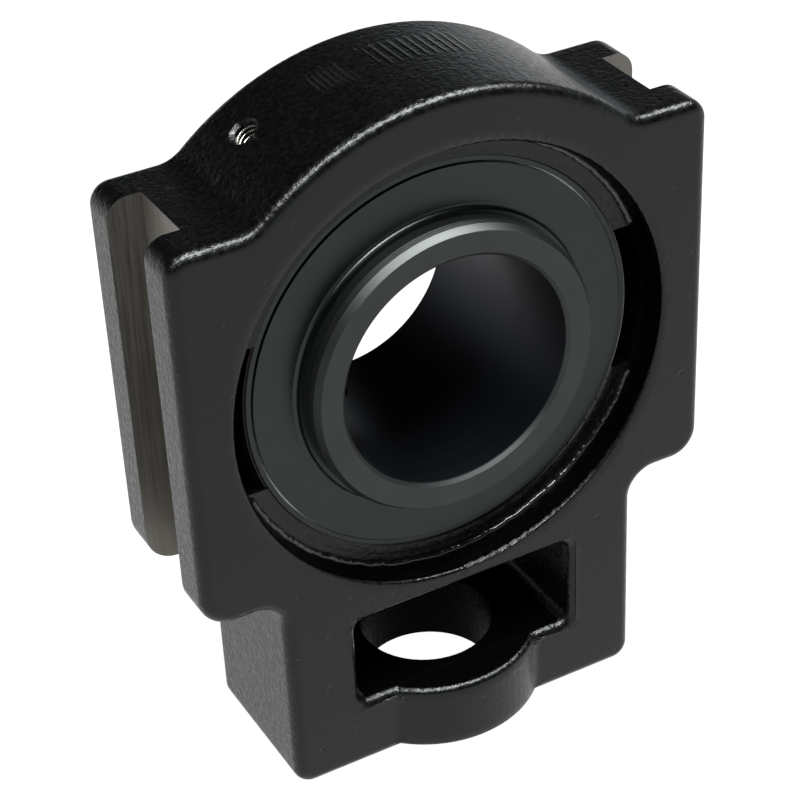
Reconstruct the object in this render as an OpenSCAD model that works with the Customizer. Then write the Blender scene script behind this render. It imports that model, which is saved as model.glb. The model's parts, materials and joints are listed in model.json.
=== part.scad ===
// Take-up bearing unit: an insert ball bearing in a cast housing that slides between two guide rails.
// X runs from ear to ear, Y along the shaft and Z away from the adjusting screw.
// The origin is the centre of the bearing. The locking side of the bearing faces +Y.

/* [Housing outline] */
// Wall of the round crown outside the seat's recess
crown_wall = 11.2; // [9:0.2:13]
// Height of the ears' top above the bearing's centre
ear_top = 43; // [41:0.5:45]
// Depth of the ears' underside below the bearing's centre
ear_bottom = 41; // [38:0.5:43]
// Rounding of the casting's front and rear edges
edge_radius = 2.6; // [1.5:0.1:3]
// Fillet in the valley between the crown and an ear
valley_radius = 8; // [5:0.5:10]
// Rounding of an ear's upper corner
ear_corner = 4.5; // [4:0.5:6]
// Rounding of an ear's lower corner
ear_lower_corner = 6.5; // [4:0.5:7]
// Fillet in the step between an ear and the block
step_radius = 6; // [3:0.5:7]
// Rounding of the block's lower corners
base_corner = 4; // [3.5:0.5:6]

/* [Guide grooves] */
// Wall between the seat's recess and the floor of a guide groove
groove_wall = 2.7; // [2:0.1:5]
// Depth of a guide groove
groove_depth = 7.5; // [6:0.5:9]
// Width of a guide groove
groove_width = 17.2; // [15:0.2:19]

/* [Adjusting screw end] */
// Thickness of the wall that the adjusting screw passes through
end_wall = 16; // [14:0.5:18]
// Diameter of the hole for the adjusting screw
screw_hole_d = 29; // [25:0.5:32]
// Wall of the round boss about the screw hole
boss_wall = 10.25; // [9:0.25:12]
// Fillet between the boss and the casting's faces
boss_fillet = 5; // [3:0.5:6]
// Rounding of the boss's edges
boss_edge = 1.8; // [1:0.1:2.2]
// Width of the window for the nut
window_width = 51.4; // [46:0.2:56]
// Height of the window for the nut
window_height = 21.6; // [19:0.2:24]
// Wall between the window and the seat's recess
window_wall = 4.1; // [3.8:0.1:6]
// Wall on either side of the window
window_side_wall = 15.8; // [13:0.2:17.4]
// Rounding of the window's corners
window_corner = 2.5; // [1:0.5:4]

/* [Bearing seat] */
// Radial clearance between the spherical seat and the outer ring
seat_clearance = 0.05; // [0.02:0.01:0.1]
// Distance that the seat reaches past each face of the outer ring
seat_margin = 0.5; // [0.2:0.1:1]
// Reach of the seat's flat land outside the bearing's sphere
land_reach = 2.2; // [1.5:0.1:3]
// Depth of the cast recess in front of the land
recess_depth = 6; // [5:0.5:8]
// Widening of that recess towards the casting's face
recess_flare = 1.1; // [0.4:0.1:1.6]
// Rounding of the recess's mouth
mouth_radius = 1.2; // [0.6:0.1:1.4]
// Height of the two notches through which the bearing is loaded
notch_height = 32.8; // [28:0.2:36]

/* [Grease hole] */
// Diameter of the tapped grease hole
grease_hole_d = 5.2; // [4:0.1:6]
// Depth of its tapped part below the crown
grease_hole_depth = 10; // [8:0.5:10.5]
// Diameter of the countersink at its mouth
grease_mouth_d = 6.6; // [6.2:0.1:8]
// Angle of the hole round the bearing, from +X towards +Z
grease_angle = 121; // [100:1:135]
// Distance of the hole behind the middle of the bearing
grease_offset = 5.6; // [4.5:0.1:6.5]

/* [Bearing rings] */
// Diameter of the shaft's bore
bore_d = 50; // [48:0.5:52]
// Diameter of the outer ring's spherical outside
sphere_d = 90; // [89:0.5:91]
// Depth of the inner ring's raceway below its outside
inner_race_depth = 2.85; // [2:0.05:3.2]
// Depth of the outer ring's raceway between its shoulders
outer_race_depth = 2.8; // [2:0.1:3.2]
// Reach of the inner ring in front of the balls
inner_front = 19; // [17:0.5:21]
// Reach of the inner ring behind the balls
inner_rear = 32.6; // [30:0.2:35]
// Axial length of the chamfer on the inner ring's outer edges
outer_chamfer = 1.5; // [0.8:0.1:2]
// Radial depth of that chamfer
outer_chamfer_depth = 0.95; // [0.5:0.05:1.5]
// Chamfer at both ends of the bore
bore_chamfer = 0.85; // [0.4:0.05:1.5]
// Chamfer on the outer ring's outer edges
ring_chamfer = 0.4; // [0.2:0.1:0.8]
// Thickness of the outer ring's lip round a seal seat
ring_lip = 1.37; // [1:0.01:2]
// Axial depth of a seal seat
seal_seat_depth = 3.2; // [3:0.1:3.6]
// Width of the grease groove round the outer ring
grease_groove_width = 3; // [2:0.2:4]
// Depth of the grease groove
grease_groove_depth = 0.8; // [0.4:0.1:1.2]
// Diameter of the grease ducts into the seat and through the outer ring
grease_duct_d = 2; // [1:0.1:2.4]

/* [Balls and cage] */
// Number of balls
ball_count = 10; // [8:1:10]
// Diameter of a ball
ball_d = 12.7; // [12.2:0.1:12.9]
// Clearance between a ball and the raceways
race_clearance = 0.05; // [0.02:0.01:0.1]
// Clearance between a ball and its cage pocket
pocket_clearance = 0.12; // [0.1:0.02:0.3]
// Thickness of the cage's sheet
cage_sheet = 1.2; // [0.8:0.1:1.4]
// Radial width of the cage
cage_width = 4.8; // [4:0.2:5.2]
// Diameter of a cage rivet's shank
rivet_d = 2.4; // [1.6:0.1:2.8]
// Diameter of a cage rivet's heads
rivet_head_d = 4; // [3.4:0.1:4.4]
// Height of a rivet's head
rivet_head_height = 0.9; // [0.5:0.1:1.2]

/* [Seals and flingers] */
// Thickness of a seal's steel core
core_sheet = 0.8; // [0.5:0.1:1]
// Axial length of the core's pressed rim
core_rim = 2.2; // [1.6:0.1:2.4]
// Gap between the cage and a seal's core
seal_gap = 1.13; // [0.8:0.01:1.6]
// Radial reach of the rubber lip from the inner ring to the core
lip_reach = 2.05; // [1.5:0.05:3]
// Axial width of the rubber lip
lip_width = 1.8; // [1.2:0.1:2]
// Clearance between the lip and the inner ring
lip_clearance = 0.06; // [0.03:0.01:0.1]
// Thickness of a flinger's sheet
flinger_sheet = 0.9; // [0.6:0.1:1]
// Distance that a flinger stands proud of the outer ring's face
flinger_proud = 0.4; // [0.2:0.1:0.8]
// Length of a flinger's neck in front of its flange
flinger_neck = 1.1; // [0.8:0.1:1.6]
// Fillet between a flinger's neck and its flange
flinger_fillet = 1; // [0.5:0.1:1.1]
// Gap between a flinger's rim and the outer ring
flinger_gap = 0.35; // [0.2:0.05:0.8]

/* [Set screws] */
// Effective diameter of a set screw's thread
set_screw_d = 9.4; // [8:0.2:10]
// Length of a set screw
set_screw_length = 8; // [7:0.5:10]
// Distance from the inner ring's rear end to the screws
set_screw_inset = 10; // [9:0.5:11]
// Angle of the first set screw, from +X towards +Z
set_screw_angle = 8; // [-10:1:30]
// Angle between the two set screws
set_screw_spread = 120; // [90:5:120]
// Distance of a set screw's point outside the bore
set_screw_backed_off = 1.5; // [0.5:0.1:2.5]
// Width across the flats of the hexagon socket
socket_flats = 5; // [4:0.5:6]
// Depth of the hexagon socket
socket_depth = 4; // [3:0.5:5]
// Radius of the cup in a set screw's point
cup_r = 2; // [1.5:0.1:2.4]
// Depth of that cup
cup_depth = 0.8; // [0.5:0.1:1.5]
// Width of the biting edge round the cup
cup_land = 0.4; // [0.2:0.1:0.8]
// Chamfer at a set screw's outer end
top_chamfer = 0.6; // [0.3:0.1:1]
// Clearance of a set screw in its tapped hole
thread_clearance = 0.05; // [0.02:0.01:0.1]

/* [Hidden] */
$fn = 96;
// Length by which a cut overshoots, and a fine step between faces that would otherwise only graze each other
cut = 1;
seam = 0.1;

// The balls run midway between the bore and the sphere
sphere_r = sphere_d / 2;
bore_r = bore_d / 2;
pitch_r = (sphere_r + bore_r) / 2;
ball_r = ball_d / 2;
race_r = ball_r + race_clearance;
pocket_r = ball_r + pocket_clearance;
pocket_out = pocket_r + cage_sheet;
inner_r = pitch_r - race_r + inner_race_depth;
shoulder_r = pitch_r + race_r - outer_race_depth;

// The outer ring takes in the cage and the seals
seal_step = pocket_out + seal_gap;
half_ring = seal_step + seal_seat_depth;
ring_face_r = sqrt(pow(sphere_r, 2) - pow(half_ring, 2));
seal_seat_r = ring_face_r - ring_lip;
core_bore_r = inner_r + lip_reach;
flinger_face = half_ring + flinger_proud;
neck_r = inner_r + flinger_sheet;
screw_y = inner_rear - set_screw_inset;
screw_angles = [set_screw_angle, set_screw_angle - set_screw_spread];
screw_point = bore_r + set_screw_backed_off;

// The housing's walls stand about the outer ring's seat
seat_half = half_ring + seat_margin;
half_thickness = seat_half + recess_depth;
housing_thickness = 2 * half_thickness;
land_r = sphere_r + land_reach;
recess_r = land_r + recess_flare;
crown_radius = recess_r + crown_wall;
groove_floor = recess_r + groove_wall;
half_width = groove_floor + groove_depth;
half_block = window_width / 2 + window_side_wall;
end_depth = recess_r + window_wall + window_height + end_wall;
window_floor = end_wall - end_depth;

// The casting is made of strips that carry its rounded outline, and of a plain core that overlaps them
rim = 12;
core_inset = 6;
// Width of the strips that frame the window
frame = edge_radius + 0.4;

// The valley's fillet dips a hair below the crown and the ear's top, so that they cross it cleanly
// The ear's top runs on past the fillet's end by a length, and the crown by an angle
dip = 0.02;
ear_lap = 1;
crown_lap = 1;
valley_z = ear_top + valley_radius - dip;
valley_x = sqrt(pow(crown_radius + valley_radius - dip, 2) - pow(valley_z, 2));
valley_angle = atan2(valley_z, valley_x);

// Angle of a drill's point
drill_angle = 118;

// The boss's fillet touches the boss and the casting's face
boss_r = screw_hole_d / 2 + boss_wall;
fillet_y = half_thickness + boss_fillet;
fillet_x = sqrt(pow(boss_r + boss_fillet, 2) - pow(fillet_y, 2));
fillet_angle = atan2(fillet_y, fillet_x);

ball_names = [for (i = [1 : ball_count]) str("ball_", i < 10 ? "0" : "", i)];

// Turns a shape about the Z axis into one about the shaft's, with its angles from +X towards +Z
module along_shaft() {
    rotate([90, 0, 0]) children();
}

// Revolves a profile of radius and Y about the shaft
module turned() {
    along_shaft() rotate_extrude() mirror([0, 1]) children();
}

// Moves a shape from the +X axis to an angle round the shaft
module round_shaft(angle) {
    rotate([0, -angle, 0]) children();
}

// Mirror image of a piece on the other side of the ball row
module at_rear() {
    mirror([0, 1, 0]) children();
}

// A shape and its mirror image across X = 0
module both_sides() {
    children();
    mirror([1, 0, 0]) children();
}

// Rectangle with rounded corners, centred on its place
module rounded_rectangle(width, height, radius) {
    square([width - 2 * radius, height], center = true);
    square([width, height - 2 * radius], center = true);
    for (x = [-1, 1], y = [-1, 1])
        translate([x * (width / 2 - radius), y * (height / 2 - radius)]) circle(radius);
}

// Section through a rim of cast metal: the metal starts at x = 0, and its free edge is rounded
module rim_section(width, thickness, edge) {
    intersection() {
        rounded_rectangle(2 * width, thickness, edge);
        translate([0, -thickness]) square([width, 2 * thickness]);
    }
}

// Stretch of rim round a bulging corner, about the Z axis
module rim_bulge(radius, start, sweep, thickness, edge) {
    width = min(rim, radius);
    rotate_extrude(angle = sweep, start = start)
        translate([radius - width, 0]) rim_section(width, thickness, edge);
}

// Stretch of rim round a hollow corner, about the Z axis
module rim_hollow(radius, start, sweep, thickness, edge, width = rim) {
    rotate_extrude(angle = sweep, start = start)
        translate([radius + width, 0]) mirror([1, 0]) rim_section(width, thickness, edge);
}

// Straight stretch of the casting's rim between two points of the front view, with the metal on its left
module rim_run(from, to, width = rim) {
    run = to - from;
    translate([from[0], 0, from[1]]) round_shaft(atan2(run[1], run[0])) translate([0, 0, width])
        rotate([0, 90, 0]) linear_extrude(norm(run)) rim_section(width, housing_thickness, edge_radius);
}

// A corner of the casting's outline, centred at a point of the front view
module rim_corner(at, radius, start, sweep) {
    along_shaft() translate(at) rim_bulge(radius, start, sweep, housing_thickness, edge_radius);
}

// A fillet of the casting's outline, centred at a point of the front view
module rim_fillet(at, radius, start, sweep, width = rim) {
    along_shaft() translate(at) rim_hollow(radius, start, sweep, housing_thickness, edge_radius, width);
}

// Right half of the casting's rounded outline, from the end face up to the crown
module outline_half() {
    side = half_width;
    rim_corner([half_block - base_corner, base_corner - end_depth], base_corner, -90, 90);
    rim_run([half_block, base_corner - end_depth], [half_block, -ear_bottom - step_radius]);
    rim_fillet([half_block + step_radius, -ear_bottom - step_radius], step_radius, 90, 90);
    rim_run([half_block + step_radius, -ear_bottom], [side - ear_lower_corner, -ear_bottom]);
    rim_corner([side - ear_lower_corner, ear_lower_corner - ear_bottom], ear_lower_corner, -90, 90);
    rim_run([side, ear_lower_corner - ear_bottom], [side, ear_top - ear_corner]);
    rim_corner([side - ear_corner, ear_top - ear_corner], ear_corner, 0, 90);
    rim_run([side - ear_corner, ear_top], [valley_x - ear_lap, ear_top]);
    rim_fillet([valley_x, valley_z], valley_radius, 180 + valley_angle, 90 - valley_angle);
}

// Plain metal inside the rounded outline
module casting_core() {
    along_shaft() linear_extrude(housing_thickness, center = true) {
        circle(crown_radius - core_inset);
        translate([core_inset - half_width, core_inset - ear_bottom])
            square([2 * (half_width - core_inset), ear_top + ear_bottom - 2 * core_inset]);
        translate([core_inset - half_block, core_inset - end_depth])
            square([2 * (half_block - core_inset), end_depth]);
    }
}

// Casting with its rounded outline, before it is bored
module casting() {
    flank = half_block - base_corner;
    crown_start = valley_angle - crown_lap;
    both_sides() outline_half();
    rim_run([-flank, -end_depth], [flank, -end_depth]);
    rim_corner([0, 0], crown_radius, crown_start, 180 - 2 * crown_start);
    casting_core();
}

// Boss in the end view: a circle about the screw hole, with a fillet on each side to the casting's face
module boss_outline() {
    circle(boss_r);
    for (side = [-1, 1]) difference() {
        polygon([[0, 0], [side * fillet_x, 0], [side * fillet_x, -fillet_y]]);
        translate([side * fillet_x, -fillet_y]) circle(boss_fillet);
    }
}

// Round boss about the screw hole, which stands out of both faces of the casting
module screw_boss() {
    height = end_wall - 2 * seam;
    translate([0, 0, window_floor - end_wall / 2]) for (turn = [0, 180]) rotate([0, 0, turn])
        intersection() {
            linear_extrude(height, center = true) boss_outline();
            rotate_extrude() {
                rim_section(boss_r + seam, height, boss_edge);
                translate([0, boss_edge - height / 2]) square([2 * boss_r, height - 2 * boss_edge]);
            }
        }
}

// Prism through the casting with the window's outline, grown by a margin
module window_prism(margin) {
    along_shaft() linear_extrude(housing_thickness + 2 * cut, center = true)
        translate([0, window_floor + window_height / 2])
            square([window_width + 2 * margin, window_height + 2 * margin], center = true);
}

// Frame of rounded metal round the window
module window_frame() {
    low = window_floor + window_corner;
    high = window_floor + window_height - window_corner;
    side = window_width / 2;
    flank = side - window_corner;
    rim_run([flank, window_floor], [-flank, window_floor], frame);
    rim_run([-flank, window_floor + window_height], [flank, window_floor + window_height], frame);
    both_sides() {
        rim_run([side, high], [side, low], frame);
        rim_fillet([flank, low], window_corner, -90, 90, frame);
        rim_fillet([flank, high], window_corner, 0, 90, frame);
    }
}

// Hollow cast recess in front of the spherical seat, with a rounded mouth that crosses the casting's face
module recess_front() {
    turned() {
        polygon([
            [0, -seat_half],
            [land_r, -seat_half],
            [recess_r, -half_thickness],
            [recess_r, -half_thickness - cut],
            [0, -half_thickness - cut]
        ]);
        difference() {
            translate([land_r, -half_thickness - cut])
                square([recess_flare + mouth_radius, mouth_radius + cut]);
            translate([recess_r + mouth_radius, mouth_radius - seam - half_thickness]) circle(mouth_radius);
        }
    }
}

// Two notches in the front half of the seat, through which the bearing goes in sideways
module loading_notches() {
    intersection() {
        along_shaft() cylinder(r = land_r, h = half_thickness);
        cube([2 * half_width, housing_thickness, notch_height], center = true);
    }
}

// Tapped hole in the crown with a countersunk mouth and a drilled point, and a fine duct from there to the seat
module grease_hole() {
    countersink = (grease_mouth_d - grease_hole_d) / 2;
    floor_r = crown_radius - grease_hole_depth;
    drill_point = grease_hole_d / 2 / tan(drill_angle / 2);
    round_shaft(grease_angle) translate([0, grease_offset, 0]) rotate([0, 90, 0]) {
        translate([0, 0, pitch_r]) cylinder(d = grease_duct_d, h = floor_r - pitch_r);
        translate([0, 0, floor_r - drill_point]) cylinder(d1 = 0, d2 = grease_hole_d, h = drill_point);
        translate([0, 0, floor_r]) cylinder(d = grease_hole_d, h = grease_hole_depth);
        translate([0, 0, crown_radius - countersink])
            cylinder(d1 = grease_hole_d, d2 = grease_mouth_d + 2 * cut, h = countersink + cut);
    }
}

module housing() {
    color("#232527") difference() {
        union() {
            difference() {
                casting();
                window_prism(frame / 2);
            }
            window_frame();
            screw_boss();
        }
        sphere(sphere_r + seat_clearance);
        recess_front();
        at_rear() recess_front();
        loading_notches();
        both_sides() translate([groove_floor, -groove_width / 2, -ear_bottom - cut])
            cube([groove_depth + cut, groove_width, ear_bottom + ear_top + 2 * cut]);
        translate([0, 0, -end_depth - cut]) cylinder(d = screw_hole_d, h = end_wall + 2 * cut);
        grease_hole();
    }
}

// Chamfered corner of a ring's face, cut from its section
module ring_corner(radius, face) {
    translate([radius, face]) rotate(45) square(ring_chamfer * sqrt(2), center = true);
}

module outer_ring() {
    groove_floor = sqrt(pow(sphere_r, 2) - pow(grease_offset, 2)) - grease_groove_depth;
    color("#4c5256") difference() {
        turned() difference() {
            intersection() {
                circle(sphere_r);
                translate([shoulder_r, -half_ring]) square([sphere_r, 2 * half_ring]);
            }
            translate([pitch_r, 0]) circle(race_r);
            for (side = [-1, 1]) {
                translate([0, side * (seal_step + half_ring)])
                    square([2 * seal_seat_r, 2 * half_ring], center = true);
                ring_corner(ring_face_r, side * half_ring);
            }
            translate([groove_floor, grease_offset - grease_groove_width / 2])
                square([sphere_r, grease_groove_width]);
        }
        for (angle = [grease_angle, grease_angle + 180])
            round_shaft(angle) translate([pitch_r, grease_offset, 0])
                rotate([0, 90, 0]) cylinder(d = grease_duct_d, h = sphere_r);
    }
}

module inner_ring() {
    face_in = bore_r + bore_chamfer;
    face_out = inner_r - outer_chamfer_depth;
    color("#565b5e") difference() {
        turned() difference() {
            polygon([
                [face_in, -inner_front],
                [face_out, -inner_front],
                [inner_r, outer_chamfer - inner_front],
                [inner_r, inner_rear - outer_chamfer],
                [face_out, inner_rear],
                [face_in, inner_rear],
                [bore_r, inner_rear - bore_chamfer],
                [bore_r, bore_chamfer - inner_front]
            ]);
            translate([pitch_r, 0]) circle(race_r);
        }
        for (angle = screw_angles)
            round_shaft(angle) translate([0, screw_y, 0])
                rotate([0, 90, 0]) cylinder(d = set_screw_d + 2 * thread_clearance, h = sphere_r);
    }
}

// Places a shape at each ball, or half a step on at each rivet
module round_pitch(offset = 0) {
    for (i = [0 : ball_count - 1])
        round_shaft((i + offset) * 360 / ball_count) translate([pitch_r, 0, 0]) children();
}

module ball(i) {
    color("#c6cacc") round_shaft(i * 360 / ball_count) translate([pitch_r, 0, 0]) sphere(ball_r);
}

// Half of a ball that bulges towards the front from the middle of the ball row
module half_ball(radius) {
    along_shaft() rotate_extrude() intersection() {
        circle(radius);
        square(2 * radius);
    }
}

// One pressed half of the ribbon cage: flats between the balls, and a spherical pocket over each ball
module cage_half() {
    difference() {
        intersection() {
            union() {
                turned() translate([pitch_r - cage_width, -cage_sheet]) square([2 * cage_width, cage_sheet]);
                round_pitch() half_ball(pocket_out);
            }
            turned() translate([pitch_r - cage_width / 2, -pocket_out]) square([cage_width, pocket_out]);
        }
        round_pitch() half_ball(pocket_r);
        round_pitch(0.5) along_shaft() cylinder(d = rivet_d, h = 2 * cage_sheet, center = true);
    }
}

module cage_front() {
    color("#9a958a") cage_half();
}

module cage_rear() {
    color("#9a958a") at_rear() cage_half();
}

// Domed head of a rivet, standing on z = 0
module rivet_head() {
    dome_r = (pow(rivet_head_d / 2, 2) + pow(rivet_head_height, 2)) / (2 * rivet_head_height);
    rotate_extrude() intersection() {
        translate([0, rivet_head_height - dome_r]) circle(dome_r);
        square([rivet_head_d, rivet_head_d]);
    }
}

module cage_rivets() {
    color("#b3aea2") round_pitch(0.5) along_shaft() {
        cylinder(d = rivet_d, h = 2 * cage_sheet, center = true);
        for (flip = [0, 180])
            rotate([flip, 0, 0]) translate([0, 0, cage_sheet]) rivet_head();
    }
}

// Steel core of a seal: a washer against the ring's shoulder, with a rim pressed into the seal seat
module seal_core() {
    turned() {
        translate([core_bore_r, -seal_step - core_sheet]) square([seal_seat_r - core_bore_r, core_sheet]);
        translate([seal_seat_r - core_sheet, -seal_step - core_rim]) square([core_sheet, core_rim]);
    }
}

// Rubber lip on the core's inner edge, which tapers to the inner ring
module seal_lip() {
    middle = -seal_step - core_sheet / 2;
    tip_r = inner_r + lip_clearance;
    turned() polygon([
        [core_bore_r, middle - lip_width / 2],
        [core_bore_r, middle + lip_width / 2],
        [(core_bore_r + tip_r) / 2, middle + lip_width / 2],
        [tip_r, middle],
        [tip_r, middle - lip_width / 2]
    ]);
}

module front_seal_core() {
    color("#7d8184") seal_core();
}

module front_seal_lip() {
    color("#1c1d1e") seal_lip();
}

module rear_seal_core() {
    color("#7d8184") at_rear() seal_core();
}

module rear_seal_lip() {
    color("#1c1d1e") at_rear() seal_lip();
}

// Pressed flinger: a neck on the inner ring, and a flange that covers the seal
module flinger() {
    rim_r = seal_seat_r - flinger_gap;
    turned() {
        translate([inner_r, -flinger_face - flinger_neck])
            square([flinger_sheet, flinger_neck + flinger_sheet]);
        translate([inner_r, -flinger_face]) square([rim_r - inner_r, flinger_sheet]);
        difference() {
            translate([neck_r, -flinger_face - flinger_fillet]) square(flinger_fillet);
            translate([neck_r + flinger_fillet, -flinger_face - flinger_fillet]) circle(flinger_fillet);
        }
    }
}

module front_flinger() {
    color("#3d4548") flinger();
}

module rear_flinger() {
    color("#3d4548") at_rear() flinger();
}

// Set screw with a cup point and a hexagon socket, at an angle round the shaft
module set_screw(angle) {
    r = set_screw_d / 2;
    profile = [
        [0, cup_depth],
        [cup_r, 0],
        [cup_r + cup_land, 0],
        [r, r - cup_r - cup_land],
        [r, set_screw_length - top_chamfer],
        [r - top_chamfer, set_screw_length],
        [0, set_screw_length]
    ];
    color("#303335") round_shaft(angle) translate([screw_point, screw_y, 0]) rotate([0, 90, 0])
        difference() {
            rotate_extrude() polygon(profile);
            translate([0, 0, set_screw_length - socket_depth])
                cylinder(d = socket_flats / cos(30), h = socket_depth + cut, $fn = 6);
        }
}

module set_screw_1() {
    set_screw(screw_angles[0]);
}

module set_screw_2() {
    set_screw(screw_angles[1]);
}

housing();
outer_ring();
inner_ring();
for (i = [0 : ball_count - 1])
    ball(i);
cage_front();
cage_rear();
cage_rivets();
front_seal_core();
front_seal_lip();
rear_seal_core();
rear_seal_lip();
front_flinger();
rear_flinger();
set_screw_1();
set_screw_2();
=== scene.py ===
import json
import math

import bmesh
import bpy
from mathutils import Matrix, Vector


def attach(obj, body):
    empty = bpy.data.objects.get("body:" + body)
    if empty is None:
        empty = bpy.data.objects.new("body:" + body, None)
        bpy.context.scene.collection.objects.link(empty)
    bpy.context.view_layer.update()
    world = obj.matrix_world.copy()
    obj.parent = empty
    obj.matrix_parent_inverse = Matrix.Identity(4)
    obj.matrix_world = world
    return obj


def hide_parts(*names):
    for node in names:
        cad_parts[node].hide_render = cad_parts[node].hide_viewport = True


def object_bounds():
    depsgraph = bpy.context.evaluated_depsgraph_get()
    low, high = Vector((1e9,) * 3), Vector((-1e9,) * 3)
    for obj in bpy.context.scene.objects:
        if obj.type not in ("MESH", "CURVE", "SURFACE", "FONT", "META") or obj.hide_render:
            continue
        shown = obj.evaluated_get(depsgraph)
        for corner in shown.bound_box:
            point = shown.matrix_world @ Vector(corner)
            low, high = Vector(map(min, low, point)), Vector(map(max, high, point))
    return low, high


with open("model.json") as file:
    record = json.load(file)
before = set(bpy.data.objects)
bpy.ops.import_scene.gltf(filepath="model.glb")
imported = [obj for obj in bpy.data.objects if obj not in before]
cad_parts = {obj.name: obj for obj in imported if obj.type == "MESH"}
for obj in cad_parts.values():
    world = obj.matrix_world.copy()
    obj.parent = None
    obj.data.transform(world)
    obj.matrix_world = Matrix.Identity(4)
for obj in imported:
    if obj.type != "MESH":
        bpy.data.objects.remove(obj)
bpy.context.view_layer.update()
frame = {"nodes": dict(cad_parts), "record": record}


# Housing: one sand casting of grey iron with a lumpy skin, sprayed with black satin paint.
# Its two guide grooves and its spherical seat are machined after casting and stay bare iron.
MM = 0.001
mounts = {mount["name"]: mount for mount in frame["record"]["mounts"]}
GROOVE_FLOOR = mounts["right_guide_groove"]["pos_m"][0]
GROOVE_HALF_WIDTH = 8.6 * MM
SEAT_R = 45.05 * MM
LAND_DEPTH = 12.5 * MM  # from the middle plane to the flat land round the seat
RECESS_R = 48.4 * MM
RECESS_MOUTH = 18.2 * MM
SCREW_HOLE_R = mounts["adjusting_screw_hole"]["dims"]["r_mm"] * MM
WINDOW_FLOOR = -73.9 * MM
NEAR = 0.03 * MM  # how close to a surface a point still belongs to it
LONGEST_EDGE = 2.6 * MM
FACING = 0.6  # how squarely a surface faces front or back where its skin begins to be smoother
SPLIT_ROUNDS = 8
SHARP = math.radians(45)
COMB_MARKS = (  # first and last angle in degrees, near and far end along the shaft, number of marks
    (99.2, 106.0, -2.6 * MM, 9.0 * MM, 6),
    (74.4, 93.4, -1.0 * MM, 10.0 * MM, 10),
)
COMB_FADE = 4 * MM  # length over which a mark runs out at its ends
PAINT_DARK = (0.0002, 0.0002, 0.0002)
PAINT_LIGHT = (0.0006, 0.0006, 0.0006)
# darker iron colour, painted shade on the groove's side walls
IRON_PAINTED_SHADE = (0.085, 0.081, 0.071)
IRON_BRIGHT = (0.31, 0.295, 0.265)


def new_material(name, metallic, roughness, colour):
    """A procedural material, its node tree and its surface shader."""
    material = bpy.data.materials.new(name)
    material.use_nodes = True
    tree = material.node_tree
    shader = tree.nodes["Principled BSDF"]
    shader.inputs["Metallic"].default_value = metallic
    shader.inputs["Roughness"].default_value = roughness
    shader.inputs["Base Color"].default_value = (*colour, 1)
    return material, tree, shader


def object_point(tree):
    """The place on the piece, in metres."""
    return tree.nodes.new("ShaderNodeTexCoord").outputs["Object"]


def coordinates(tree, point):
    """X, Y and Z of a place."""
    parts = tree.nodes.new("ShaderNodeSeparateXYZ")
    tree.links.new(point, parts.inputs[0])
    return parts.outputs


def stretched(tree, point, scale):
    """The place on the piece with each axis scaled, so that a pattern draws out into streaks."""
    mapping = tree.nodes.new("ShaderNodeMapping")
    mapping.inputs["Scale"].default_value = scale
    tree.links.new(point, mapping.inputs["Vector"])
    return mapping.outputs["Vector"]


def speckle(tree, point, wavelength, detail=2.0):
    """Cloudy noise with lumps about one wavelength apart."""
    texture = tree.nodes.new("ShaderNodeTexNoise")
    texture.inputs["Scale"].default_value = 1 / wavelength
    texture.inputs["Detail"].default_value = detail
    tree.links.new(point, texture.inputs["Vector"])
    return texture.outputs["Fac"]


def spread(tree, value, low, high, to_low, to_high):
    """A value's range stretched onto another range, and held there."""
    ramp = tree.nodes.new("ShaderNodeMapRange")
    for socket, number in zip(ramp.inputs[1:5], (low, high, to_low, to_high)):
        socket.default_value = number
    tree.links.new(value, ramp.inputs[0])
    return ramp.outputs[0]


def combine(tree, operation, first, second=0.0):
    """Two values worked into one; each is a socket or a number."""
    node = tree.nodes.new("ShaderNodeMath")
    node.operation = operation
    for socket, value in zip(node.inputs, (first, second)):
        if isinstance(value, (int, float)):
            socket.default_value = value
        else:
            tree.links.new(value, socket)
    return node.outputs[0]


def tint(tree, value, first, second):
    """A colour between two, by a value from 0 to 1; each is a socket or a colour."""
    mix = tree.nodes.new("ShaderNodeMix")
    mix.data_type = "RGBA"
    tree.links.new(value, mix.inputs["Factor"])
    for socket, colour in zip((mix.inputs["A"], mix.inputs["B"]), (first, second)):
        if isinstance(colour, tuple):
            socket.default_value = (*colour, 1)
        else:
            tree.links.new(colour, socket)
    return mix.outputs["Result"]


def relief(tree, height, depth, below=None):
    """A bump of the given depth, laid over another."""
    bump = tree.nodes.new("ShaderNodeBump")
    bump.inputs["Distance"].default_value = depth
    tree.links.new(height, bump.inputs["Height"])
    if below is not None:
        tree.links.new(below, bump.inputs["Normal"])
    return bump.outputs["Normal"]


def comb_marks(tree, point):
    """Height from 0 to 1 of the short ridges that a tool left across the crown, side by side."""
    x, y, z = coordinates(tree, point)
    angle = combine(tree, "MULTIPLY", combine(tree, "ARCTAN2", z, x), 180 / math.pi)
    on_top = spread(tree, z, 50 * MM, 53 * MM, 0, 1)
    total = None
    for first, last, near, far, count in COMB_MARKS:
        wave = combine(tree, "MULTIPLY", angle, 2 * math.pi * count / (last - first))
        ridge = spread(tree, combine(tree, "SINE", wave), -0.2, 1, 0, 1)
        for value, low, high, to_low, to_high in (
                (angle, first - 0.4, first + 0.4, 0, 1), (angle, last - 0.4, last + 0.4, 1, 0),
                (y, near, near + COMB_FADE, 0, 1), (y, far - COMB_FADE, far, 1, 0)):
            ridge = combine(tree, "MULTIPLY", ridge, spread(tree, value, low, high, to_low, to_high))
        total = ridge if total is None else combine(tree, "ADD", total, ridge)
    return combine(tree, "MULTIPLY", total, on_top)


def attribute(tree, name):
    """A value that the mesh carries at each vertex."""
    reader = tree.nodes.new("ShaderNodeAttribute")
    reader.attribute_name = name
    return reader.outputs["Fac"]


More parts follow.
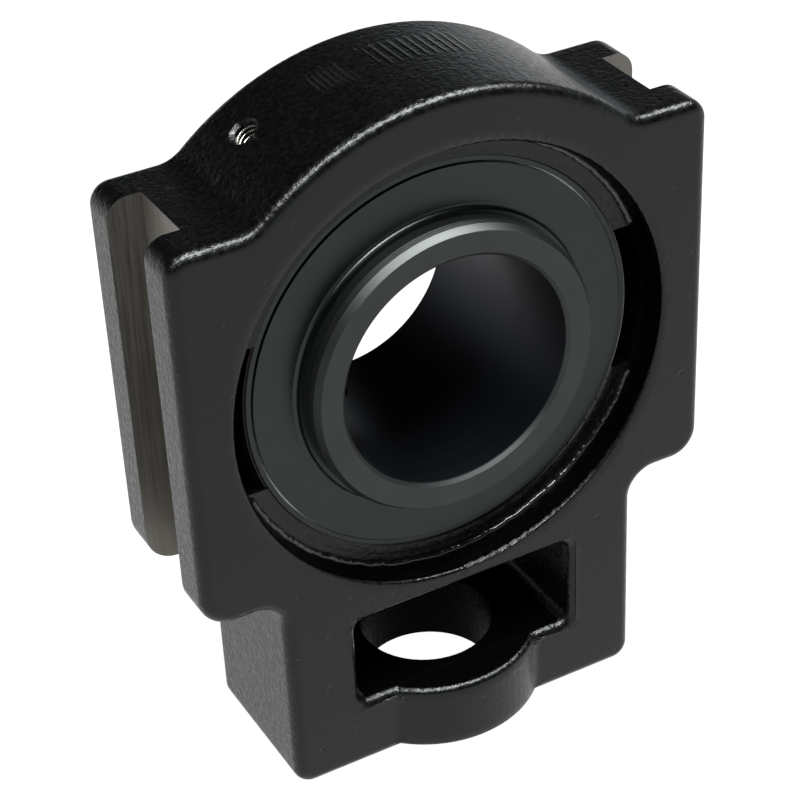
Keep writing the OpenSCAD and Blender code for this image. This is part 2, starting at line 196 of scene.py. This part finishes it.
def black_paint():
    """Black satin paint over cast iron.

    The mesh says where the casting below is coarse (skin), and where painted shade is laid on: there the
    paint's gloss is turned almost off, so those places stay dark.
    """
    material, tree, shader = new_material("black_paint", 0.0, 0.3, PAINT_LIGHT)
    shader.inputs["IOR"].default_value = 1.345
    shader.inputs["Specular Tint"].default_value = (0.95, 1.0, 0.985, 1)
    # painted shade: the gloss drops almost to nothing on vertices that the mesh marks as shaded
    gloss = spread(tree, attribute(tree, "hollow"), 0, 1, 0.5, 0.03)
    tree.links.new(gloss, shader.inputs["Specular IOR Level"])
    point = object_point(tree)
    coarse = attribute(tree, "skin")
    cloud = speckle(tree, point, 7 * MM, 4.0)
    peel = speckle(tree, point, 1.1 * MM, 3.0)
    grit = speckle(tree, point, 0.4 * MM)
    tree.links.new(tint(tree, cloud, PAINT_DARK, PAINT_LIGHT), shader.inputs["Base Color"])
    satin = spread(tree, peel, 0.3, 0.7, 0.2, 0.34)
    rough = combine(tree, "ADD", satin, combine(tree, "MULTIPLY", coarse, 0.06))
    tree.links.new(rough, shader.inputs["Roughness"])
    lumps = combine(tree, "MULTIPLY", peel, spread(tree, coarse, 0, 1, 0.1, 1))
    grains = combine(tree, "MULTIPLY", grit, spread(tree, coarse, 0, 1, 0.15, 1))
    pits = spread(tree, speckle(tree, point, 2.6 * MM, 1.0), 0.71, 0.77, 1, 0)
    surface = relief(tree, lumps, 0.2 * MM)
    surface = relief(tree, grains, 0.045 * MM, surface)
    surface = relief(tree, pits, 0.07 * MM, surface)
    surface = relief(tree, comb_marks(tree, point), 0.36 * MM, surface)
    tree.links.new(surface, shader.inputs["Normal"])
    return material


def bare_iron():
    """Machined grey iron with the cutter's streaks; the sides of a groove are tinted darker than its floor
    and the seat, as painted shade.
    """
    material, tree, shader = new_material("bare_iron", 1.0, 0.45, IRON_BRIGHT)
    point = object_point(tree)
    cloud = speckle(tree, point, 6 * MM, 4.0)
    streak = speckle(tree, stretched(tree, point, (1, 1, 0.03)), 0.4 * MM, 3.0)
    place = coordinates(tree, point)
    from_middle = combine(tree, "ABSOLUTE", place["Y"])
    # painted shade: the groove's side walls are the same iron as its floor, but are tinted towards the
    # darker colour
    on_floor = spread(tree, from_middle, GROOVE_HALF_WIDTH - 0.3 * MM, GROOVE_HALF_WIDTH - 0.05 * MM, 1, 0.3)
    on_seat = spread(tree, combine(tree, "ABSOLUTE", place["X"]), SEAT_R, GROOVE_FLOOR, 1, 0)
    bright = combine(tree, "MAXIMUM", on_floor, on_seat)
    shade = combine(tree, "MULTIPLY", bright, spread(tree, cloud, 0.3, 0.7, 0.75, 1.0))
    tree.links.new(tint(tree, shade, IRON_PAINTED_SHADE, IRON_BRIGHT), shader.inputs["Base Color"])
    tree.links.new(spread(tree, streak, 0.3, 0.7, 0.38, 0.55), shader.inputs["Roughness"])
    tree.links.new(relief(tree, streak, 0.012 * MM), shader.inputs["Normal"])
    return material


def is_machined(place):
    """Whether a face there lies in a guide groove or on the spherical seat."""
    in_groove = abs(place.x) > GROOVE_FLOOR - NEAR and abs(place.y) < GROOVE_HALF_WIDTH + NEAR
    return in_groove or abs(place.length - SEAT_R) < NEAR


def is_hollow(vert):
    """Whether a vertex gets painted shade: recess wall, screw hole or window sill, where the paint's gloss
    is turned almost off to stand in for shade.
    """
    x, y, z = vert.co
    in_recess = math.hypot(x, z) < RECESS_R and abs(y) < RECESS_MOUTH
    on_land = abs(abs(y) - LAND_DEPTH) < NEAR
    in_hole = math.hypot(x, y) < SCREW_HOLE_R + 0.1 * MM and z < WINDOW_FLOOR
    on_sill = vert.normal.z > 0.95 and abs(z - WINDOW_FLOOR) < 0.4 * MM
    return in_recess and not on_land or in_hole or on_sill


bm = bmesh.new()
bm.from_mesh(frame["nodes"]["housing"].data)
bmesh.ops.remove_doubles(bm, verts=bm.verts, dist=0.0005 * MM)
for _ in range(SPLIT_ROUNDS):
    long_edges = [edge for edge in bm.edges if edge.calc_length() > LONGEST_EDGE]
    if not long_edges:
        break
    bmesh.ops.subdivide_edges(bm, edges=long_edges, cuts=1)
    bmesh.ops.triangulate(bm, faces=[face for face in bm.faces if len(face.verts) > 3])
for face in bm.faces:
    face.material_index = 1 if is_machined(face.calc_center_median()) else 0
    face.smooth = True
bm.normal_update()
skin = bm.verts.layers.float.new("skin")
hollow = bm.verts.layers.float.new("hollow")
# painted shade is marked per vertex on the recess wall, screw hole and window sill
for vert in bm.verts:
    in_shade = is_hollow(vert)
    on_face = 0.0 if in_shade else max(0.0, abs(vert.normal.y) - FACING) / (1 - FACING)
    vert[skin] = 1 - 0.9 * on_face
    vert[hollow] = 1.0 if in_shade else 0.0
casting_mesh = bpy.data.meshes.new("cast_housing")
bm.to_mesh(casting_mesh)
bm.free()
casting_mesh.validate()  # takes out the doubled faces that splitting can leave
if "custom_normal" in casting_mesh.attributes:  # the solid's own shading does not fit the split faces
    casting_mesh.attributes.remove(casting_mesh.attributes["custom_normal"])
casting_mesh.materials.append(black_paint())
casting_mesh.materials.append(bare_iron())
casting_mesh.set_sharp_from_angle(angle=SHARP)
casting = bpy.data.objects.new("cast_housing", casting_mesh)
bpy.context.scene.collection.objects.link(casting)
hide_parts("housing")
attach(casting, "housing")


# Thread of the grease hole: an M6 thread cut into the crown's iron, bright where the tap went.
# It is one helical ridge that stands out of the hole's wall.
GREASE_HOLE = mounts["grease_hole"]
HOLE_AXIS = Vector(GREASE_HOLE["axis"])
THREAD_PITCH = 1.0 * MM
THREAD_TURNS = 8.4
THREAD_RIDGE = 0.27 * MM
THREAD_FOOT = 4.15 * MM  # from the middle of the hole down to the first turn
CUT_IRON = (0.36, 0.345, 0.31)


def ridge_tree(name, sizes):
    """A Geometry Nodes tree with named sizes and a material as inputs, and its first and last nodes."""
    tree = bpy.data.node_groups.new(name, "GeometryNodeTree")
    tree.interface.new_socket("Geometry", in_out="INPUT", socket_type="NodeSocketGeometry")
    for size in sizes:
        tree.interface.new_socket(size, in_out="INPUT", socket_type="NodeSocketFloat")
    tree.interface.new_socket("Material", in_out="INPUT", socket_type="NodeSocketMaterial")
    tree.interface.new_socket("Geometry", in_out="OUTPUT", socket_type="NodeSocketGeometry")
    return tree, tree.nodes.new("NodeGroupInput"), tree.nodes.new("NodeGroupOutput")


def sweep_ridge(tree, start, end, path, sides):
    """Ends a tree with a round ridge swept along a path, in the given material."""
    section = tree.nodes.new("GeometryNodeCurvePrimitiveCircle")
    section.inputs["Resolution"].default_value = sides
    tree.links.new(start.outputs["Ridge"], section.inputs["Radius"])
    sweep = tree.nodes.new("GeometryNodeCurveToMesh")
    sweep.inputs["Fill Caps"].default_value = True
    tree.links.new(path, sweep.inputs["Curve"])
    tree.links.new(section.outputs[0], sweep.inputs["Profile Curve"])
    realize = tree.nodes.new("GeometryNodeRealizeInstances")
    tree.links.new(sweep.outputs[0], realize.inputs[0])
    finish = tree.nodes.new("GeometryNodeSetMaterial")
    tree.links.new(realize.outputs[0], finish.inputs["Geometry"])
    tree.links.new(start.outputs["Material"], finish.inputs["Material"])
    tree.links.new(finish.outputs[0], end.inputs[0])


def helix_tree():
    """Geometry Nodes: a ridge swept along a helix about Z."""
    tree, start, end = ridge_tree("helix_ridge", ("Radius", "Pitch", "Turns", "Ridge"))
    spiral = tree.nodes.new("GeometryNodeCurveSpiral")
    spiral.inputs["Resolution"].default_value = 40
    tree.links.new(start.outputs["Turns"], spiral.inputs["Rotations"])
    tree.links.new(start.outputs["Radius"], spiral.inputs["Start Radius"])
    tree.links.new(start.outputs["Radius"], spiral.inputs["End Radius"])
    height = combine(tree, "MULTIPLY", start.outputs["Turns"], start.outputs["Pitch"])
    tree.links.new(height, spiral.inputs["Height"])
    sweep_ridge(tree, start, end, spiral.outputs[0], 6)
    return tree


def made_by_nodes(name, tree, values, place):
    """A plain mesh object that a node tree made, set in its place."""
    maker = bpy.data.objects.new(name + "_maker", bpy.data.meshes.new(name + "_maker"))
    bpy.context.scene.collection.objects.link(maker)
    modifier = maker.modifiers.new("nodes", "NODES")
    modifier.node_group = tree
    for item in tree.interface.items_tree:
        if item.in_out == "INPUT" and item.name in values:
            modifier[item.identifier] = values[item.name]
    made = bpy.data.meshes.new_from_object(maker.evaluated_get(bpy.context.evaluated_depsgraph_get()))
    bpy.data.objects.remove(maker)
    made.name = name
    made.transform(place)
    piece = bpy.data.objects.new(name, made)
    bpy.context.scene.collection.objects.link(piece)
    return piece


cut_iron, tree, shader = new_material("cut_iron", 1.0, 0.3, CUT_IRON)
glint = speckle(tree, object_point(tree), 0.8 * MM)
tree.links.new(spread(tree, glint, 0.3, 0.7, 0.22, 0.42), shader.inputs["Roughness"])
out_of_crown = Matrix.Rotation(math.atan2(HOLE_AXIS.x, HOLE_AXIS.z), 4, "Y")
thread = made_by_nodes(
    "grease_thread", helix_tree(),
    {"Radius": GREASE_HOLE["dims"]["r_mm"] * MM, "Pitch": THREAD_PITCH, "Turns": THREAD_TURNS,
     "Ridge": THREAD_RIDGE, "Material": cut_iron},
    Matrix.Translation(GREASE_HOLE["pos_m"]) @ out_of_crown @ Matrix.Translation((0, 0, -THREAD_FOOT)))
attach(thread, "housing")


# Paint beads: thick paint that ran together in the corner between the seat's land and the recess's wall.
# It dried there as two uneven glossy ridges, one on each side of the loading notches.
BEAD_R = 47.3 * MM
BEAD_DEPTH = LAND_DEPTH + 0.2 * MM
BEAD_RIDGE = 0.85 * MM
BEAD_WAVER = 0.9 * MM
BEAD_SWEEP = math.radians(136)
BEAD_STARTS = {"lower_paint_bead": math.radians(-158), "upper_paint_bead": math.radians(22)}


def bead_tree():
    """Geometry Nodes: a ridge swept round part of a circle about Z, whose line wavers."""
    tree, start, end = ridge_tree("paint_bead", ("Radius", "Start", "Sweep", "Ridge", "Waver"))
    arc = tree.nodes.new("GeometryNodeCurveArc")
    arc.inputs["Resolution"].default_value = 400
    tree.links.new(start.outputs["Radius"], arc.inputs["Radius"])
    tree.links.new(start.outputs["Start"], arc.inputs["Start Angle"])
    tree.links.new(start.outputs["Sweep"], arc.inputs["Sweep Angle"])
    wander = tree.nodes.new("ShaderNodeTexNoise")
    wander.inputs["Scale"].default_value = 420
    wander.inputs["Detail"].default_value = 2
    centred = tree.nodes.new("ShaderNodeVectorMath")
    centred.operation = "SUBTRACT"
    centred.inputs[1].default_value = (0.5, 0.5, 0.5)
    tree.links.new(wander.outputs["Color"], centred.inputs[0])
    scaled = tree.nodes.new("ShaderNodeVectorMath")
    scaled.operation = "SCALE"
    tree.links.new(centred.outputs[0], scaled.inputs[0])
    tree.links.new(start.outputs["Waver"], scaled.inputs["Scale"])
    move = tree.nodes.new("GeometryNodeSetPosition")
    tree.links.new(arc.outputs[0], move.inputs["Geometry"])
    tree.links.new(scaled.outputs[0], move.inputs["Offset"])
    sweep_ridge(tree, start, end, move.outputs[0], 8)
    return tree


wet_paint, tree, shader = new_material("wet_paint", 0.0, 0.12, (0.002, 0.002, 0.002))
drips = speckle(tree, object_point(tree), 1.5 * MM)
tree.links.new(spread(tree, drips, 0.3, 0.7, 0.08, 0.3), shader.inputs["Roughness"])
wavering_arc = bead_tree()
for name, bead_start in BEAD_STARTS.items():
    bead = made_by_nodes(
        name, wavering_arc,
        {"Radius": BEAD_R, "Start": bead_start, "Sweep": BEAD_SWEEP, "Ridge": BEAD_RIDGE,
         "Waver": BEAD_WAVER, "Material": wet_paint},
        Matrix.Translation((0, -BEAD_DEPTH, 0)) @ Matrix.Rotation(math.pi / 2, 4, "X"))
    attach(bead, "housing")


# Bearing rings: turned and ground bearing steel under a thin black oxide.
# The outer ring lies in the housing's spherical seat, and the inner ring is clamped on the shaft.
BORE_EDGE = mounts["shaft_bore"]["dims"]["r_mm"] * MM + 0.1 * MM  # just outside the bore's wall
# painted shade: the inside of the bore is coloured darker than the ring's faces, though it is the same
# oxidised steel
BORE_PAINTED_SHADE = (0.012, 0.0135, 0.017)
GROOVED_R = 31 * MM
TURNED_GROOVES = (-17.3 * MM, -15.6 * MM, 0.55 * MM)  # first and last along the shaft, and pitch
RIM_R = 43.0 * MM
RIM_COLOUR = (0.16, 0.15, 0.132)


def oxide_steel(name, dark, light, rough, zone=None, grooves=None):
    """Steel under black oxide, with fine lines turned about the shaft.

    A zone has the radius where it begins, the radius where it is full, and its colour there; in the inner
    ring's bore that colour is painted shade.
    """
    material, tree, shader = new_material(name, 1.0, rough, light)
    point = object_point(tree)
    x, y, z = coordinates(tree, point)
    squares = combine(tree, "ADD", combine(tree, "MULTIPLY", x, x), combine(tree, "MULTIPLY", z, z))
    radius = combine(tree, "POWER", squares, 0.5)
    colour = tint(tree, speckle(tree, point, 8 * MM), dark, light)
    if zone:
        begins, full, zone_colour = zone
        colour = tint(tree, spread(tree, radius, begins, full, 0, 1), colour, zone_colour)
    tree.links.new(colour, shader.inputs["Base Color"])
    ring = tree.nodes.new("ShaderNodeCombineXYZ")
    tree.links.new(radius, ring.inputs["X"])
    tree.links.new(y, ring.inputs["Y"])
    lines = speckle(tree, ring.outputs[0], 0.15 * MM)
    tree.links.new(spread(tree, lines, 0.3, 0.7, rough - 0.04, rough + 0.05), shader.inputs["Roughness"])
    surface = relief(tree, lines, 0.0008 * MM)
    if grooves:
        first, last, pitch = grooves
        wave = combine(tree, "SINE", combine(tree, "MULTIPLY", y, 2 * math.pi / pitch))
        for value, low, high in (
                (y, first, first + pitch / 4), (y, last, last - pitch / 4), (radius, BORE_EDGE, GROOVED_R)):
            wave = combine(tree, "MULTIPLY", wave, spread(tree, value, low, high, 0, 1))
        surface = relief(tree, wave, 0.05 * MM, surface)
    tree.links.new(surface, shader.inputs["Normal"])
    return material


def dress(node, material):
    """Gives a CAD node its finish."""
    mesh = frame["nodes"][node].data
    mesh.materials.clear()
    mesh.materials.append(material)


dress("inner_ring", oxide_steel("inner_ring_steel", (0.036, 0.039, 0.038), (0.045, 0.049, 0.048), 0.45,
                                (BORE_EDGE + 0.1 * MM, BORE_EDGE, BORE_PAINTED_SHADE), TURNED_GROOVES))
dress("outer_ring", oxide_steel("outer_ring_steel", (0.027, 0.031, 0.03), (0.034, 0.038, 0.037), 0.3,
                                (RIM_R, RIM_R + 0.05 * MM, RIM_COLOUR)))


# Ball row: polished steel balls in a ribbon cage of two pressed steel halves, joined by ten rivets.
# The balls run in the grooves of both rings, hidden behind the seals.
BALLS = 10


def plain_steel(name, colour, rough):
    """Clean steel with a faint cloudy finish."""
    material, tree, shader = new_material(name, 1.0, rough, colour)
    cloud = speckle(tree, object_point(tree), 2 * MM, 3.0)
    tree.links.new(spread(tree, cloud, 0.3, 0.7, 0.8 * rough, 1.2 * rough), shader.inputs["Roughness"])
    return material


ball_steel = plain_steel("ball_steel", (0.6, 0.61, 0.62), 0.08)
for number in range(1, BALLS + 1):
    dress("ball_%02d" % number, ball_steel)
cage_steel = plain_steel("cage_steel", (0.42, 0.41, 0.38), 0.35)
for half in ("front", "rear"):
    dress("cage_" + half, cage_steel)
dress("cage_rivets", plain_steel("rivet_steel", (0.5, 0.48, 0.44), 0.28))


# Seals: on each side a core pressed from sheet steel, with a lip of black rubber bonded to its inner edge.
# The core is pushed into the outer ring, and the lip runs on the inner ring.
seal_steel = plain_steel("seal_steel", (0.3, 0.31, 0.32), 0.35)
seal_rubber, tree, shader = new_material("seal_rubber", 0.0, 0.6, (0.012, 0.012, 0.012))
grain = speckle(tree, object_point(tree), 0.3 * MM)
tree.links.new(relief(tree, grain, 0.01 * MM), shader.inputs["Normal"])
for side in ("front", "rear"):
    dress(side + "_seal_core", seal_steel)
    dress(side + "_seal_lip", seal_rubber)


# Flingers: discs with a short neck, pressed from sheet steel and oxidised blue-black.
# One is pushed onto the inner ring outside each seal and turns with the ring, to keep dirt off the seal.
flinger_steel = oxide_steel("flinger_steel", (0.028, 0.0322, 0.0318), (0.034, 0.0385, 0.038), 0.32)
for side in ("front", "rear"):
    dress(side + "_flinger", flinger_steel)


# Set screws: two cup-point screws with a hexagon socket, of alloy steel with a black oxide.
# They sit in tapped holes at the rear end of the inner ring, and clamp it on the shaft.
screw_steel = plain_steel("screw_steel", (0.045, 0.045, 0.047), 0.35)
for number in (1, 2):
    dress("set_screw_%d" % number, screw_steel)


# Stage: a white table that glows evenly, one long softbox overhead and a pale glow at the horizon.
# The camera looks at the front through a long lens, from the left and above.
REACH = 6.0
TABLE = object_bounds()[0][2] - 0.1 * MM
HORIZON = (0.86, 0.93, 1.0)
SOFTBOX_PLACE = Vector((0.1, -0.25, 0.8))
SOFTBOX_SIZE = (1.3, 0.13)
SOFTBOX_WATTS = 38.0
LENS = 104.732
EYE = (-0.187844, -0.352162, 0.246815)
EYE_TURN = (0.986507, 0.042121, -0.510058)

floor_mesh = bpy.data.meshes.new("floor")
floor_mesh.from_pydata(
    [(-REACH, -REACH, TABLE), (REACH, -REACH, TABLE), (REACH, REACH, TABLE), (-REACH, REACH, TABLE)],
    [], [(0, 1, 2, 3)])
floor = bpy.data.objects.new("floor", floor_mesh)
bpy.context.scene.collection.objects.link(floor)
white_table, tree, shader = new_material("white_table", 0.0, 0.9, (0.04, 0.04, 0.04))
shader.inputs["Emission Color"].default_value = (1, 1, 1, 1)
shader.inputs["Emission Strength"].default_value = 1.0
floor_mesh.materials.append(white_table)

world = bpy.data.worlds.new("studio")
world.use_nodes = True
tree = world.node_tree
backdrop = tree.nodes["Background"]
backdrop.inputs["Color"].default_value = (*HORIZON, 1)
direction = coordinates(tree, tree.nodes.new("ShaderNodeTexCoord").outputs["Generated"])
tree.links.new(spread(tree, direction["Z"], 0.02, 0.22, 1.0, 0.004), backdrop.inputs["Strength"])
bpy.context.scene.world = world

light = bpy.data.lights.new("overhead_softbox", "AREA")
light.shape = "RECTANGLE"
light.size, light.size_y = SOFTBOX_SIZE
light.energy = SOFTBOX_WATTS
softbox = bpy.data.objects.new("overhead_softbox", light)
softbox.location = SOFTBOX_PLACE
softbox.rotation_euler = (-SOFTBOX_PLACE).to_track_quat("-Z", "Y").to_euler()
bpy.context.scene.collection.objects.link(softbox)

camera = bpy.data.cameras.new("camera")
camera.sensor_width = 36
camera.lens = LENS
camera.clip_start = 0.01
eye = bpy.data.objects.new("camera", camera)
eye.location = EYE
eye.rotation_euler = EYE_TURN
bpy.context.scene.collection.objects.link(eye)
bpy.context.scene.camera = eye
bpy.context.scene.view_settings.view_transform = "Standard"
